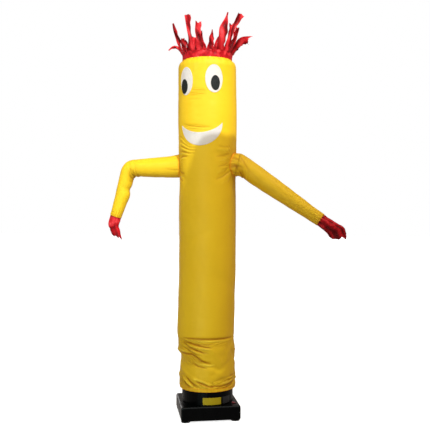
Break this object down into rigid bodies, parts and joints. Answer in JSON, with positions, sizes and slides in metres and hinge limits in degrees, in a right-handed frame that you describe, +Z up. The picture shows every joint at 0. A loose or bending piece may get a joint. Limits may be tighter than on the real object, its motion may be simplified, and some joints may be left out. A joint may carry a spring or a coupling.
{
  "type": "inflatable air dancer with blower",
  "caption": "Tall hollow yellow cloth tube with a smiling face, cloth arms, red hands and red streamer hair, standing air-filled on the round collar of a square black floor blower.",
  "frame": {"origin": "on the floor under the middle of the blower; the blower's underside is 6 mm above it, on four feet, with a flat panel 1.5 mm proud in its middle", "axes": "+Z up along the tube; the face looks along -Y; the arms lie along X, the bent one at -X and the straight one at +X. The blower is turned 23 degrees about Z"},
  "size_m": [1.2806, 0.4184, 2.0954],
  "materials": {
    "cloth_yellow": "thin coated nylon cloth, slightly glossy",
    "cloth_red": "thin coated nylon cloth, slightly glossy, cut edges torn",
    "cloth_white": "thin appliqued cloth, matt",
    "cloth_black": "thin appliqued cloth, matt",
    "housing_black": "moulded plastic with a soft gloss",
    "plate_yellow": "blank yellow label stock",
    "plate_grey": "blank dark grey label stock",
    "switch_red": "moulded plastic",
    "switch_black": "moulded plastic",
    "foot_rubber": "matt moulded rubber"
  },
  "bodies": {
    "dancer": {"body": "cloth_yellow", "arm_left": "cloth_yellow", "arm_right": "cloth_yellow", "hand_left": "cloth_red", "hand_right": "cloth_red", "hair": "cloth_red", "eye_white_left": "cloth_white", "eye_white_right": "cloth_white", "mouth": "cloth_white", "pupil_left": "cloth_black", "pupil_right": "cloth_black", "base": "housing_black", "collar": "housing_black", "cord_gland": "housing_black", "collar_plate_front": "plate_yellow", "collar_plate_side": "plate_grey", "switch_frame": "switch_black", "foot_front_left": "foot_rubber", "foot_front_right": "foot_rubber", "foot_back_left": "foot_rubber", "foot_back_right": "foot_rubber"},
    "rocker": {"switch_rocker": "switch_red"}
  },
  "joints": [
    {"name": "switch_tip", "type": "hinge", "parent": "dancer", "child": "rocker", "pos_m": [0.14988, -0.03958, 0.0792], "axis": [-0.3907, 0.9205, 0], "range_deg": [-20, 0]}
  ]
}
